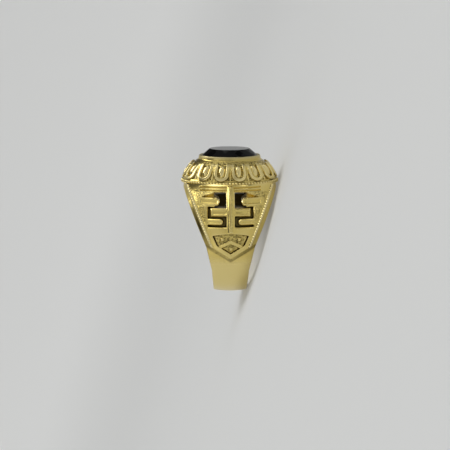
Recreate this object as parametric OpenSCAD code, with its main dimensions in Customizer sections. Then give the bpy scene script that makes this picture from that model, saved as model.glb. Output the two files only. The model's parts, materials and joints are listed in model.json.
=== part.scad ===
// Signet style ring with an oval black stone, lying on its side as it rests on a table.
// It is modelled standing: X runs along the finger, Z up through the stone, and the origin is the
// centre of the finger hole. The last step lays it down on the edge of its head and its shank.

/* [Finger hole and shank] */
// Diameter of the finger hole
bore_d = 18.2; // [17.8:0.1:18.4]
// Thickness of the shank at its lowest point
shank_t = 1.4; // [1.3:0.1:1.6]
// Width of the shank at its lowest point
shank_w = 5.8; // [5.4:0.1:6.2]
// Width of the shank at its waist, where the shoulders begin to flare
waist_w = 6.6; // [6.3:0.1:7]
// Radius of the shank's outline, seen along the finger
shank_r = 10.8; // [10.7:0.1:10.9]
// Radius of the low dome across shank and shoulders
dome_r = 16; // [15:0.5:18]

/* [Shoulder panels] */
// Radius of the raised panels' outline, seen along the finger
panel_r = 11.4; // [11.3:0.1:11.5]
// Height of that outline's centre above the centre of the finger hole
panel_rise = 0.9; // [0.8:0.1:1]
// Width of a panel under the head
panel_top_w = 16.6; // [16.2:0.1:16.8]
// Width of a panel at its lower corners
panel_low_w = 8.6; // [8.2:0.1:9]
// Height of the panel's lower corners
panel_corner_z = -0.75; // [-1:0.05:-0.5]
// Height of the panel's lowest point
panel_tip_z = -3.5; // [-3.6:0.05:-3.2]
// Depth to which the slopes round a panel reach at its edges
slope_d = 0.45; // [0.35:0.05:0.55]
// Fall of the slopes along a panel's sides, in mm for each mm outwards
side_fall = 0.65; // [0.55:0.05:0.75]
// Fall of the slopes along a panel's lower edges
foot_fall = 0.9; // [0.8:0.05:1]
// Depth of the engraved channels
channel_d = 0.8; // [0.6:0.1:1]
// Depth of the shield's ground
shield_d = 0.3; // [0.2:0.05:0.4]

/* [Head] */
// Length of the head along the finger
head_l = 17.7; // [17.5:0.1:18]
// Width of the head over its length, the same for the stone
oval_ratio = 0.8; // [0.78:0.01:0.82]
// Height of the girdle's lower edge above the centre of the finger hole
girdle_z = 9.55; // [9.5:0.05:9.6]
// Height of the girdle band
girdle_h = 0.6; // [0.5:0.05:0.7]
// Radius of the frieze's rounded slope
frieze_r = 7.5; // [7.4:0.1:7.6]
// Depth of the frieze's ground below the tops of its ornament
relief_h = 0.35; // [0.3:0.05:0.4]
// Eggs round the frieze, with a dart between each pair
egg_count = 14; // [12:1:16]
// Outside length of the bezel that holds the stone
bezel_l = 11.2; // [11:0.1:11.4]
// Height of the bezel's rim above the centre of the finger hole
bezel_z = 14.42; // [14.4:0.01:14.5]

/* [Stone] */
// Length of the stone at its girdle
stone_l = 10; // [9.8:0.1:10.1]
// Height of the crown above the girdle
crown_h = 1.1; // [0.9:0.1:1.2]
// Length of the table over the length of the stone
table_part = 0.78; // [0.7:0.01:0.8]
// Depth of the pavilion below the girdle
pavilion_h = 2.1; // [1.8:0.1:2.3]
// Main facets round the stone
facet_count = 16; // [8:2:24]
// Gap between the stone and its seat
seat_gap = 0.06; // [0.04:0.01:0.1]

/* [Hidden] */
GOLD = [0.78, 0.64, 0.3];
BLACK = [0.03, 0.03, 0.035];
$fn = 72;
far = 20;
bore_r = bore_d / 2;
bottom_z = -bore_r - shank_t;
shank_rise = shank_r + bottom_z;
waist_z = -5.2;
body_top_z = girdle_z + girdle_h / 2;
ledge_z = 8.75;
ledge_in = 1.3;

// Outline of a raised panel, seen from a shoulder, from its lowest point up one side
panel_tip = [0, panel_tip_z];
panel_corner = [panel_low_w / 2, panel_corner_z];
panel_top = [panel_top_w / 2, 8.9];

// Fret of the shoulder panel, seen from a shoulder: half widths and heights
stem_w = 1.5;
stem_proud = 0.2;
stem_foot_z = 1.9;
window_top_z = 8.55;
window_half = 2.8;
facet_half = 5.5;
facet_end_d = 0.06;
tab_z = [6.43, 7.76];
tab_end = 1.9;
cross_z = [4.66, 6.04];
cross_half = 3.53;
channel_half = 3.99;
channel_z = [4.28, 6.23];
low_tab_z = [3.23, 4.24];
low_tab_end = 1.31;
low_groove_z = [2.85, 3.23];
shield_top_z = 1.65;
shield_arch_r = 15;
shield_side_z = -0.4;
shield_tip_z = -1.95;
shield_top_half = 3.18;
shield_side_half = 2.4;
chevron_top_z = 0.55;
chevron_half = 2.3;
chevron_drop = 0.95;
chevron_w = 0.65;
pellet_r = 0.36;
pellet_sink = 0.12;
pellets = [[-1.5, 0.7], [1.5, 0.7], [0, -1.05]];

// Head, seen from a shoulder: the frieze is an arc between its foot and its top
head_r = head_l / 2;
bezel_r = bezel_l / 2;
frieze_foot = [head_r - 0.15, girdle_z + girdle_h + 0.05];
frieze_top = [bezel_r, bezel_z - 0.3];
frieze_mid = (frieze_foot + frieze_top) / 2;
frieze_run = frieze_top - frieze_foot;
frieze_back = sqrt(pow(frieze_r, 2) - pow(norm(frieze_run) / 2, 2)) / norm(frieze_run);
frieze_c = frieze_mid + frieze_back * [-frieze_run[1], frieze_run[0]];
ornament_a = 34;
egg_r = 0.46;
egg_l = 2.2;
egg_z = 0.2;
shell_r = 1.1;
shell_w = 0.46;
shell_h = 0.3;
shell_z = [-0.45, 1.5];
dart_half = 1.6;
dart_r = [0.14, 0.34];

// Stone and its seat, seen from a shoulder
stone_r = stone_l / 2;
stone_z = 14.2;
stone_edge = 0.15;
break_part = 0.55;
lip_over = 0.06;
seat_foot_r = 0.4;

// The ring rests on the girdle's lower edge and on the edge of the shank's lowest point
rest_head = [head_r, girdle_z];
rest_shank = [shank_w / 2, bottom_z + dome_r - sqrt(pow(dome_r, 2) - pow(shank_w / 2, 2))];
rest_run = rest_head - rest_shank;
lie_a = atan2(rest_run[0], rest_run[1]);

// Extrudes a drawing by a depth across the finger. The drawing is seen from a shoulder, with its
// first axis along the finger and its second one up
module upright(depth) {
    rotate([90, 0, 0]) linear_extrude(depth, center = true) children();
}

module both_halves() {
    children();
    mirror([1, 0]) children();
}

module both_shoulders() {
    children();
    mirror([0, 1, 0]) children();
}

// Barrel round the finger's axis, whose surface bulges to radius r at its middle
module barrel(r, rise) {
    translate([0, 0, rise]) rotate([0, 90, 0]) rotate_extrude($fn = 120)
        intersection() {
            translate([r - dome_r, 0]) circle(dome_r, $fn = 180);
            translate([0, -head_r]) square([far, head_l]);
        }
}

// Outline of the ring seen from a shoulder, without the head
module side_outline() {
    both_halves() polygon([
        [0, bottom_z - 1],
        [shank_w / 2, bottom_z - 1],
        [shank_w / 2, rest_shank[1]],
        [waist_w / 2, waist_z],
        panel_corner,
        panel_top,
        [panel_top[0], body_top_z],
        [0, body_top_z],
    ]);
}

// Radius of the panels' barrel at a distance from its middle, and the depth of its surface at p
function panel_radius(x) = panel_r - dome_r + sqrt(pow(dome_r, 2) - pow(x, 2));
function panel_depth(p) = sqrt(pow(panel_radius(p[0]), 2) - pow(p[1] - panel_rise, 2));

// Cone that slopes off everything outside the panel's edge from p to q. Its axis is square to that
// edge and so placed that the cone meets the surface at both ends alike, on both shoulders
module slope(p, q, fall) {
    run = q - p;
    length = norm(run);
    up = (pow(length, 2) + pow(panel_depth(q), 2) - pow(panel_depth(p), 2)) / 2 / length;
    edge_r = norm([up, panel_depth(p)]) - slope_d;
    spot = p + run * up / length;
    translate([spot[0], 0, spot[1]]) rotate([0, 90 + atan2(run[0], run[1]), 0]) translate([0, 0, -far])
        cylinder(far + 2, edge_r + far * fall, edge_r - 2 * fall, $fn = 120);
}

// Raised panels on both shoulders, with slopes round them
module panels() {
    intersection() {
        barrel(panel_r, panel_rise);
        translate([-far / 2, -far, panel_tip_z - 1]) cube([far, 2 * far, body_top_z - panel_tip_z + 1]);
        for (side = [0, 1]) mirror([side, 0, 0]) intersection() {
            slope(panel_corner, panel_top, side_fall);
            slope(panel_tip, panel_corner, foot_fall);
        }
    }
}

// Shank and shoulders before the finger hole is bored
module shank_body() {
    intersection() {
        union() {
            intersection() {
                barrel(shank_r, shank_rise);
                translate([-far / 2, -far, bottom_z - 1]) cube([far, 2 * far, panel_corner_z - bottom_z + 2]);
            }
            panels();
        }
        upright(far * 2) side_outline();
    }
}

module bar(half, z) {
    translate([-half, z[0]]) square([2 * half, z[1] - z[0]]);
}

// Raised tab with a round end, reaching in from the frame
module tab(end, z) {
    round_r = (z[1] - z[0]) / 2;
    both_halves() {
        translate([end + round_r, z[0]]) square([far, 2 * round_r]);
        translate([end + round_r, z[0] + round_r]) circle(round_r);
    }
}

// What the fret's channels cover, before its bars are left standing
module fret_ground() {
    bar(window_half, [cross_z[1], window_top_z]);
    bar(channel_half, channel_z);
    bar(channel_half, low_groove_z);
    bar(low_tab_end + 0.3, [low_groove_z[0], channel_z[1]]);
}

module fret_bars() {
    bar(stem_w / 2, [0, far]);
    bar(cross_half, cross_z);
    tab(tab_end, tab_z);
    tab(low_tab_end, low_tab_z);
}

// Three-cornered facets that run out from the windows' upper corners
module window_facets() {
    both_halves() polygon([
        [window_half - 0.1, tab_z[1]],
        [facet_half, tab_z[1]],
        [window_half - 0.1, window_top_z],
    ]);
}

module shield_outline() {
    intersection() {
        both_halves() polygon([
            [0, shield_tip_z],
            [shield_side_half, shield_side_z],
            [shield_top_half, shield_top_z],
            [shield_top_half, shield_top_z + 1],
            [0, shield_top_z + 1],
        ]);
        translate([0, shield_top_z - shield_arch_r]) circle(shield_arch_r, $fn = 180);
    }
}

// Cuts a drawing, the first child, into both shoulders down to a core, the second child
module engrave() {
    both_shoulders() difference() {
        translate([0, -far / 2, 0]) upright(far) children(0);
        children(1);
    }
}

// Cuts a drawing right through both shoulders into the finger hole
module pierce() {
    upright(far * 2) children();
}

module fret_cuts() {
    engrave() {
        difference() {
            fret_ground();
            fret_bars();
        }
        barrel(panel_r - channel_d, panel_rise);
    }
    engrave() {
        window_facets();
        translate([0, 0, panel_rise]) rotate([0, 90, 0])
            cylinder(far, r = panel_radius(facet_half) - facet_end_d, center = true, $fn = 120);
    }
    engrave() {
        shield_outline();
        barrel(panel_r - shield_d, panel_rise);
    }
    pierce() difference() {
        bar(window_half, [cross_z[1], window_top_z]);
        fret_bars();
    }
}

// Half-round stem down the middle of each panel
module stems() {
    intersection() {
        translate([0, 0, panel_rise]) rotate([0, 90, 0]) rotate_extrude()
            translate([panel_r + stem_proud - stem_w / 2, 0]) circle(stem_w / 2);
        upright(far * 2) bar(stem_w, [stem_foot_z, girdle_z]);
    }
}

// Plain shield figure: a chevron between three pellets
module shield_figure() {
    intersection() {
        barrel(panel_r - shield_d / 3, panel_rise);
        upright(far * 2) both_halves() polygon([
            [0, chevron_top_z - chevron_w],
            [0, chevron_top_z],
            [chevron_half, chevron_top_z - chevron_drop],
            [chevron_half, chevron_top_z - chevron_drop - chevron_w],
        ]);
    }
    for (place = pellets, side = [-1, 1]) {
        reach = sqrt(pow(panel_r - shield_d, 2) - pow(place[1] - panel_rise, 2));
        translate([place[0], side * (reach - pellet_sink), place[1]]) sphere(pellet_r, $fn = 24);
    }
}

// Section of the head, revolved into a round one that is then squeezed to the oval
module head_section() {
    polygon([
        [0, ledge_z],
        [head_r - ledge_in, ledge_z],
        [head_r, girdle_z],
        [head_r, girdle_z + girdle_h],
        [head_r - relief_h, girdle_z + girdle_h + relief_h],
        [0, girdle_z + girdle_h + relief_h],
    ]);
    intersection() {
        translate(frieze_c) circle(frieze_r - relief_h, $fn = 180);
        translate([0, girdle_z]) square([far, frieze_top[1] - girdle_z]);
    }
    translate([0, girdle_z]) square([bezel_r, bezel_z - girdle_z]);
}

// Seat of the stone: a mouth under a thin lip, a groove for its girdle and a cone for its pavilion
module seat_section() {
    groove_r = stone_r + seat_gap;
    seat_foot_z = stone_z - stone_edge - pavilion_h - 2 * seat_gap;
    lip_r = stone_r - lip_over;
    lip_z = stone_z + lip_over * crown_h / (1 - table_part) / stone_r + 1.5 * seat_gap;
    polygon([
        [0, seat_foot_z],
        [seat_foot_r, seat_foot_z],
        [groove_r, stone_z - stone_edge - seat_gap],
        [groove_r, stone_z + seat_gap],
        [lip_r, lip_z],
        [lip_r, bezel_z + 1],
        [0, bezel_z + 1],
    ]);
}

// Puts a piece of ornament on the frieze, at a turn round the head
module on_frieze(turn) {
    rotate([0, 0, turn]) translate([frieze_c[0], 0, frieze_c[1]]) rotate([0, -ornament_a, 0])
        translate([frieze_r - relief_h, 0, 0]) children();
}

// Evens out the spacing round an oval
function oval_turn(part) = part + 180 / PI * (1 - oval_ratio) / (1 + oval_ratio) / 2 * sin(2 * part);

// Outline of a shell round an egg, round at its foot and open above
module shell_outline(r, length) {
    translate([0, shell_z[0]]) {
        circle(r, $fn = 36);
        translate([-r, 0]) square([2 * r, length]);
    }
}

// One egg in its open shell, with its round end down
module egg() {
    translate([relief_h - egg_r, 0, egg_z]) scale([1, 1, egg_l / egg_r / 2]) sphere(egg_r, $fn = 24);
    translate([-relief_h, 0, 0]) rotate([90, 0, 90]) linear_extrude(relief_h + shell_h) difference() {
        shell_outline(shell_r, shell_z[1] - shell_z[0]);
        shell_outline(shell_r - shell_w, far);
    }
}

module dart() {
    translate([0, 0, -dart_half]) cylinder(2 * dart_half, r1 = dart_r[0], r2 = dart_r[1], $fn = 24);
}

// The head is built round and squeezed to an oval with everything on it
module head() {
    scale([1, oval_ratio, 1]) difference() {
        union() {
            rotate_extrude($fn = 180) head_section();
            for (i = [0 : egg_count - 1]) {
                on_frieze(oval_turn(360 * i / egg_count)) egg();
                on_frieze(oval_turn(360 * (i + 0.5) / egg_count)) dart();
            }
        }
        rotate_extrude($fn = 180) seat_section();
    }
}

function oval_points(part, z, turn) = [
    for (i = [0 : facet_count - 1])
        let (a = 360 * (i + turn) / facet_count)
            [part * stone_r * cos(a), part * stone_r * oval_ratio * sin(a), z]
];

// Cut stone: table, star facets, kites and crown facets, girdle, pavilion and its point. The rings
// of points halfway lie where they make each kite flat
module cut_stone() {
    half_step = cos(180 / facet_count);
    crown_break = (1 - (1 - table_part) * break_part) / half_step;
    pavilion_break = (1 - break_part) / half_step;
    points = [
        each oval_points(pavilion_break, -stone_edge - pavilion_h * break_part, 0.5),
        each oval_points(1, -stone_edge, 0),
        each oval_points(1, 0, 0),
        each oval_points(crown_break, crown_h * break_part, 0.5),
        each oval_points(table_part, crown_h, 0),
        [0, 0, -stone_edge - pavilion_h],
    ];
    n = facet_count;
    point = 5 * n;
    faces = [
        for (i = [0 : n - 1]) [point, i, (i + 1) % n],
        for (i = [0 : n - 1]) [i, n + i, n + (i + 1) % n],
        for (i = [0 : n - 1]) [i, n + (i + 1) % n, (i + 1) % n],
        for (i = [0 : n - 1]) [n + i, 2 * n + i, 2 * n + (i + 1) % n, n + (i + 1) % n],
        for (i = [0 : n - 1]) [2 * n + i, 3 * n + i, 2 * n + (i + 1) % n],
        for (i = [0 : n - 1]) [2 * n + (i + 1) % n, 3 * n + i, 3 * n + (i + 1) % n],
        for (i = [0 : n - 1]) [3 * n + i, 4 * n + (i + 1) % n, 3 * n + (i + 1) % n],
        for (i = [0 : n - 1]) [3 * n + i, 4 * n + i, 4 * n + (i + 1) % n],
        [for (i = [n - 1 : -1 : 0]) 4 * n + i],
    ];
    polyhedron(points, faces);
}

// Lays the standing ring on its side: its lowest edges come to height nought, and the middle of
// its length over the origin
module laid() {
    high_x = cos(lie_a) * (stone_z + crown_h) + sin(lie_a) * table_part * stone_r;
    low_x = cos(lie_a) * rest_shank[1] - sin(lie_a) * rest_shank[0];
    reach = cos(lie_a) * rest_shank[0] - sin(lie_a) * rest_shank[1];
    translate([-(high_x + low_x) / 2, 0, reach]) rotate([0, 90 - lie_a, 0]) children();
}

module gold_ring() {
    color(GOLD) laid() difference() {
        union() {
            difference() {
                shank_body();
                fret_cuts();
            }
            stems();
            shield_figure();
            head();
        }
        rotate([0, 90, 0]) cylinder(far * 2, r = bore_r, center = true, $fn = 180);
    }
}

module onyx_stone() {
    color(BLACK) laid() translate([0, 0, stone_z]) cut_stone();
}

gold_ring();
onyx_stone();
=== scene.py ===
"""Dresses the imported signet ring: a cast gold band with fret shoulders, its oval head and a cut black stone.

Pieces are modelled standing, in millimetres: X along the finger, Z up through the stone, and the
centre of the finger hole at nought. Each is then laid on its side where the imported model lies.
"""

from __future__ import annotations

import json
import logging
import math
from dataclasses import dataclass, field
from enum import Enum
from typing import Union

import bpy
import numpy as np
from mathutils import Matrix, Vector

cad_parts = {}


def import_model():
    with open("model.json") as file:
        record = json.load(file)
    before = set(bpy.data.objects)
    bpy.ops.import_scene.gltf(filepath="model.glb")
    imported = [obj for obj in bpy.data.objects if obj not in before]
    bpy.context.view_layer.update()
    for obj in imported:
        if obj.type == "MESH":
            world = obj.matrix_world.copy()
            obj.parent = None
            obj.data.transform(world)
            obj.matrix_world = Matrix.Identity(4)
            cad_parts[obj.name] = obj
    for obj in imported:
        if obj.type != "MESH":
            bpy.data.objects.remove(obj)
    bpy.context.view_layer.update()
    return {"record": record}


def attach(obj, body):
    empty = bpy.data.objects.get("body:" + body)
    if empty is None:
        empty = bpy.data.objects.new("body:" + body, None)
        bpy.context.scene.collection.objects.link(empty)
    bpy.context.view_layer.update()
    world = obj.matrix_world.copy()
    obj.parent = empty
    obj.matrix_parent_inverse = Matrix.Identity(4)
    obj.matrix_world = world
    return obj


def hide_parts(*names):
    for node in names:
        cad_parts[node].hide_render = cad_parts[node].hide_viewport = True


LOG = logging.getLogger("ring")
MM = 0.001
PHOTO_SIDE = 450
SENSOR_MM = 36.0
WELD = 1e-4
HALFWAY = 0.5
MIX_FIRST, MIX_SECOND, MIX_RESULT = 6, 7, 2

Point2 = tuple[float, float]
Point3 = tuple[float, float, float]


class Cut(Enum):
    """How one solid is combined with another."""

    JOIN = "UNION"
    REMOVE = "DIFFERENCE"
    KEEP_SHARED = "INTERSECT"


class Axis(Enum):
    """Axis that a section is turned about."""

    FINGER = (1.0, 0.0, 0.0)
    UP = (0.0, 0.0, 1.0)


Value = Union["Signal", float]


class Signal:
    """A shader value that ordinary sums can be written with."""

    def __init__(self, graph: Graph, socket: bpy.types.NodeSocket) -> None:
        """Wraps an output socket."""
        self.graph = graph
        self.socket = socket

    def __add__(self, other: Value) -> Signal:
        """Sum."""
        return self.graph.sum("ADD", self, other)

    def __sub__(self, other: Value) -> Signal:
        """Difference."""
        return self.graph.sum("SUBTRACT", self, other)

    def __rsub__(self, other: Value) -> Signal:
        """Difference from a number."""
        return self.graph.sum("SUBTRACT", other, self)

    def __mul__(self, other: Value) -> Signal:
        """Product."""
        return self.graph.sum("MULTIPLY", self, other)

    __radd__ = __add__
    __rmul__ = __mul__


class Graph:
    """Writes a material's or a world's nodes."""

    def __init__(self, tree: bpy.types.NodeTree) -> None:
        """Starts on a node tree."""
        self.tree = tree

    def node(self, kind: str, settings: dict[str, object], inputs: dict[str | int, object]) -> bpy.types.Node:
        """Adds a node.

        Args:
            kind: The node's type.
            settings: Its own settings, set first.
            inputs: Values or links of its sockets, by name or number.

        Returns:
            The node.
        """
        made = self.tree.nodes.new(kind)
        for key, value in settings.items():
            setattr(made, key, value)
        for key, value in inputs.items():
            self.feed(made.inputs[key], value)
        return made

    def feed(self, socket: bpy.types.NodeSocket, value: object) -> None:
        """Links a signal to a socket, or sets the socket's own value.

        Args:
            socket: The input socket.
            value: A signal or output socket to link, or a plain value.
        """
        if isinstance(value, Signal):
            self.tree.links.new(value.socket, socket)
        elif isinstance(value, bpy.types.NodeSocket):
            self.tree.links.new(value, socket)
        else:
            socket.default_value = value

    def sum(self, operation: str, first: Value, second: Value) -> Signal:
        """Adds a Math node."""
        made = self.node("ShaderNodeMath", {"operation": operation}, {0: first, 1: second})
        return Signal(self, made.outputs[0])

    def rise(self, value: Value, low: float, high: float) -> Signal:
        """Smooth step of a value.

        Args:
            value: The value.
            low: Where the step is 0.
            high: Where the step is 1.

        Returns:
            The step.
        """
        settings = {"interpolation_type": "SMOOTHSTEP"}
        inputs = {"Value": value, "From Min": low, "From Max": high}
        return Signal(self, self.node("ShaderNodeMapRange", settings, inputs).outputs[0])

    def along(self, vector: bpy.types.NodeSocket, way: Vector) -> Signal:
        """Share of a vector that points along a direction."""
        made = self.node("ShaderNodeVectorMath", {"operation": "DOT_PRODUCT"}, {0: vector, 1: tuple(way)})
        return Signal(self, made.outputs["Value"])

    def attribute(self, name: str) -> Signal:
        """Value of an attribute of the mesh."""
        return Signal(self, self.node("ShaderNodeAttribute", {"attribute_name": name}, {}).outputs["Fac"])

    def blend(self, share: Value, first: object, second: object) -> bpy.types.NodeSocket:
        """Mixes two colours.

        Args:
            share: Share of the second colour.
            first: The first colour.
            second: The second colour.

        Returns:
            The mixed colour.
        """
        settings = {"data_type": "RGBA", "clamp_factor": True}
        inputs = {"Factor": share, MIX_FIRST: first, MIX_SECOND: second}
        return self.node("ShaderNodeMix", settings, inputs).outputs[MIX_RESULT]

    def noise(self, size: float, detail: float, fine: float = 0.55) -> Signal:
        """Noise on the object's own coordinates.

        Args:
            size: Size of the bumps, in metres.
            detail: How many finer layers lie over them.
            fine: How strong each finer layer is.

        Returns:
            The noise, from 0 to 1.
        """
        spot = self.node("ShaderNodeTexCoord", {}, {}).outputs["Object"]
        inputs = {"Vector": spot, "Scale": 1 / size, "Detail": detail, "Roughness": fine}
        return Signal(self, self.node("ShaderNodeTexNoise", {}, inputs).outputs["Fac"])


@dataclass(frozen=True)
class GoldFinish:
    """Cast gold: pale on edges (polish and painted highlight), dark in hollows (patina and painted shade) and
    inside the finger hole (painted shade), satin on the shank.
    """

    name: str = "cast_gold"
    bright: Point3 = (0.75, 0.59, 0.185)
    # Pale colour of edges polished by rubbing and of painted highlights.
    pale_polish_highlight: Point3 = (0.95, 0.83, 0.46)
    brushed: Point3 = (0.84, 0.68, 0.27)
    # Near black of patina and painted shade in the hollows.
    dark: Point3 = (0.01, 0.006, 0.002)
    polished: float = 0.17
    satin: float = 0.3
    dull: float = 0.5
    uneven: float = 0.1
    shade_patina_range: Point2 = (0.05, 1.0)
    pit_detail: float = 3.0
    pit_size: float = 0.00012
    pit_depth: float = 0.000004
    punch_detail: float = 1.0
    punch_range: Point2 = (0.4, 0.65)
    punch_size: float = 0.00026
    punch_depth: float = 0.00007
    # How much darker the punched pits are than the ground round them.
    punch_darkening: float = 0.7
    # Painted shade inside the finger hole near the windows, where the hole lies in shadow.
    bore_shade_strength: float = 0.97
    bore_shade_x: Point2 = (3.6, 6.2)
    bore_shade_low: Point2 = (-0.4, 1.8)
    bore_shade_high: Point2 = (6.9, 9.4)
    cloud_size: float = 0.0017
    cloud_detail: float = 4.0
    cloud_drift: float = 0.008

    def paint_bore_shade(self, graph: Graph, place: LyingPlace) -> Signal:
        """Painted shade inside the finger hole, round the pierced windows.

        Args:
            graph: The material's graph.
            place: Where the ring lies.

        Returns:
            The share of painted shade.
        """
        spot = graph.node("ShaderNodeTexCoord", {}, {}).outputs["Object"]
        centre = place.point((0.0, 0.0, 0.0))
        finger, up = place.direction(Axis.FINGER.value), place.direction(Axis.UP.value)
        drift = (graph.noise(self.cloud_size, self.cloud_detail) - HALFWAY) * self.cloud_drift
        aside = graph.sum("ABSOLUTE", graph.along(spot, finger) - centre.dot(finger), 0.0) + drift
        height = graph.along(spot, up) - centre.dot(up) + drift
        share = 1.0 - graph.rise(aside, *(MM * edge for edge in self.bore_shade_x))
        share = share * graph.rise(height, *(MM * edge for edge in self.bore_shade_low))
        share = share * (1.0 - graph.rise(height, *(MM * edge for edge in self.bore_shade_high)))
        return graph.attribute("inside") * share * self.bore_shade_strength

    def make(self, place: LyingPlace) -> bpy.types.Material:
        """Builds the material.

        Args:
            place: Where the ring lies.

        Returns:
            The material.
        """
        material = bpy.data.materials.new(self.name)
        material.use_nodes = True
        graph = Graph(material.node_tree)
        shader = material.node_tree.nodes["Principled BSDF"]
        # Patina and painted shade: darker and duller in the hollows; painted shade inside the finger hole is
        # added below.
        hollow = graph.rise(graph.attribute("hollow"), *self.shade_patina_range)
        satin = graph.attribute("satin")
        punched = graph.attribute("punched")
        pits = graph.noise(self.pit_size, self.pit_detail)
        punches = graph.noise(self.punch_size, self.punch_detail)
        shade_and_patina = hollow + punched * graph.rise(1.0 - punches, *self.punch_range) * self.punch_darkening
        # Painted shade inside the finger hole.
        shade_and_patina = shade_and_patina + self.paint_bore_shade(graph, place)
        colour = graph.blend(satin, (*self.bright, 1), (*self.brushed, 1))
        # Pale edges: polish from rubbing and painted highlight.
        colour = graph.blend(graph.attribute("polish_and_highlight"), colour, (*self.pale_polish_highlight, 1))
        colour = graph.blend(shade_and_patina, colour, (*self.dark, 1))
        rough = self.polished + satin * (self.satin - self.polished)
        rough = rough + shade_and_patina * (self.dull - self.polished)
        rough = rough + (pits - HALFWAY) * self.uneven
        height = pits * self.pit_depth + punched * punches * self.punch_depth
        bump = graph.node("ShaderNodeBump", {}, {"Height": height, "Distance": 1.0}).outputs["Normal"]
        for key, value in (("Base Color", colour), ("Roughness", rough), ("Normal", bump), ("Metallic", 1.0)):
            graph.feed(shader.inputs[key], value)
        return material


@dataclass(frozen=True)
class StoneFinish:
    """Polished black onyx."""

    name: str = "black_onyx"
    colour: Point3 = (0.0012, 0.0012, 0.0016)
    roughness: float = 0.04
    refraction: float = 1.54
    shine: float = 0.14

    def make(self) -> bpy.types.Material:
        """Builds the material.

        Returns:
            The material.
        """
        material = bpy.data.materials.new(self.name)
        material.use_nodes = True
        shader = material.node_tree.nodes["Principled BSDF"]
        shader.inputs["Base Color"].default_value = (*self.colour, 1)
        shader.inputs["Roughness"].default_value = self.roughness
        shader.inputs["IOR"].default_value = self.refraction
        shader.inputs["Specular IOR Level"].default_value = self.shine
        return material


@dataclass(frozen=True)
class PaperFinish:
    """Matt pale sweep that the ring lies on: it glows as painted light, more up the wall, and has painted
    shade past the ring's head.
    """

    name: str = "pale_paper"
    colour: Point3 = (0.635, 0.64, 0.635)
    shaded: Point3 = (0.12, 0.12, 0.12)
    shade_x: Point2 = (0.045, 0.1)
    glow_low: Point3 = (0.36, 0.365, 0.36)
    glow_high: Point3 = (0.62, 0.625, 0.62)
    glow_z: Point2 = (0.0, 0.035)
    lit: float = 0.31
    roughness: float = 0.9
    shine: float = 0.2

    def make(self) -> bpy.types.Material:
        """Builds the material.

        Returns:
            The material.
        """
        material = bpy.data.materials.new(self.name)
        material.use_nodes = True
        shader = material.node_tree.nodes["Principled BSDF"]
        graph = Graph(material.node_tree)
        spot = graph.node("ShaderNodeTexCoord", {}, {}).outputs["Object"]
        # Painted shade on the sweep past the ring's head, which the stone's table reflects.
        share = graph.rise(graph.along(spot, Vector((1, 0, 0))), *self.shade_x)
        colour = graph.blend(share, (*self.colour, 1), (*self.shaded, 1))
        graph.feed(shader.inputs["Base Color"], colour)
        # Painted light: the paper glows, brighter up the wall than on the floor.
        height = graph.along(spot, Vector((0, 0, 1)))
        light = graph.blend(graph.rise(height, *self.glow_z), (*self.glow_low, 1), (*self.glow_high, 1))
        graph.feed(shader.inputs["Emission Color"], graph.blend(share, light, (*self.shaded, 1)))
        shader.inputs["Emission Strength"].default_value = self.lit
        shader.inputs["Roughness"].default_value = self.roughness
        shader.inputs["Specular IOR Level"].default_value = self.shine
        return material


@dataclass(frozen=True)
class LyingPlace:
    """Where the ring lies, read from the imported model's finger hole."""

    standing_to_lying: Matrix
    hole_r: float

    @staticmethod
    def from_record(record: dict) -> LyingPlace:
        """Reads the finger hole's mount.

        Args:
            record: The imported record.

        Returns:
            The move from the standing ring in millimetres to the lying one in metres.
        """
        mount = next(m for m in record["mounts"] if m["name"] == "finger_hole")
        finger = -Vector(mount["axis"]).normalized()
        side = Vector((0.0, 1.0, 0.0))
        up = finger.cross(side)
        turn = Matrix((finger, side, up)).transposed().to_4x4()
        place = Matrix.Translation(Vector(mount["pos_m"])) @ turn @ Matrix.Scale(MM, 4)
        return LyingPlace(place, mount["dims"]["r_mm"])

    def point(self, spot: Point3) -> Vector:
        """Place in metres of a point given on the standing ring in millimetres."""
        return self.standing_to_lying @ Vector(spot)

    def direction(self, way: Point3) -> Vector:
        """Direction in the lying ring of one given on the standing ring."""
        return (self.standing_to_lying.to_3x3() @ Vector(way)).normalized()


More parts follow.
